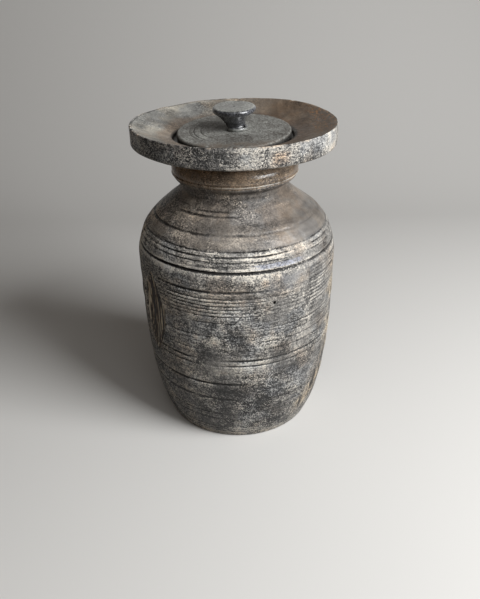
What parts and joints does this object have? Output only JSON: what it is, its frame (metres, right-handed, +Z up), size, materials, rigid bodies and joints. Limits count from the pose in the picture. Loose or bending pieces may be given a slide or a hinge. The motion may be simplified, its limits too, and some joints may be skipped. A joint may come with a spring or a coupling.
{
  "type": "lidded wooden pot",
  "caption": "Turned wooden pot with a tall swelling body, a beaded neck and a wide dished rim, closed by a loose round lid with a flared knob.",
  "frame": {"origin": "middle of the foot's underside, on the surface that the pot stands on", "axes": "+Z up along the pot's turning axis, -Y towards the front of the picture"},
  "size_m": [0.2174, 0.2174, 0.3577],
  "materials": {
    "pot_wood": "old grey-brown turned wood, rubbed pale on its edges, with dark grime in the grooves",
    "lid_wood": "matte grey end-grain wood with fine scratches",
    "knob_wood": "dark handled wood with a soft polish"
  },
  "bodies": {
    "vessel": {"pot": "pot_wood"},
    "cover": {"lid": "lid_wood", "lid_knob": "knob_wood"}
  },
  "joints": [
    {"name": "lid_lift", "type": "slide", "parent": "vessel", "child": "cover", "axis": [0, 0, 1], "range_m": [0, 0.07]}
  ]
}
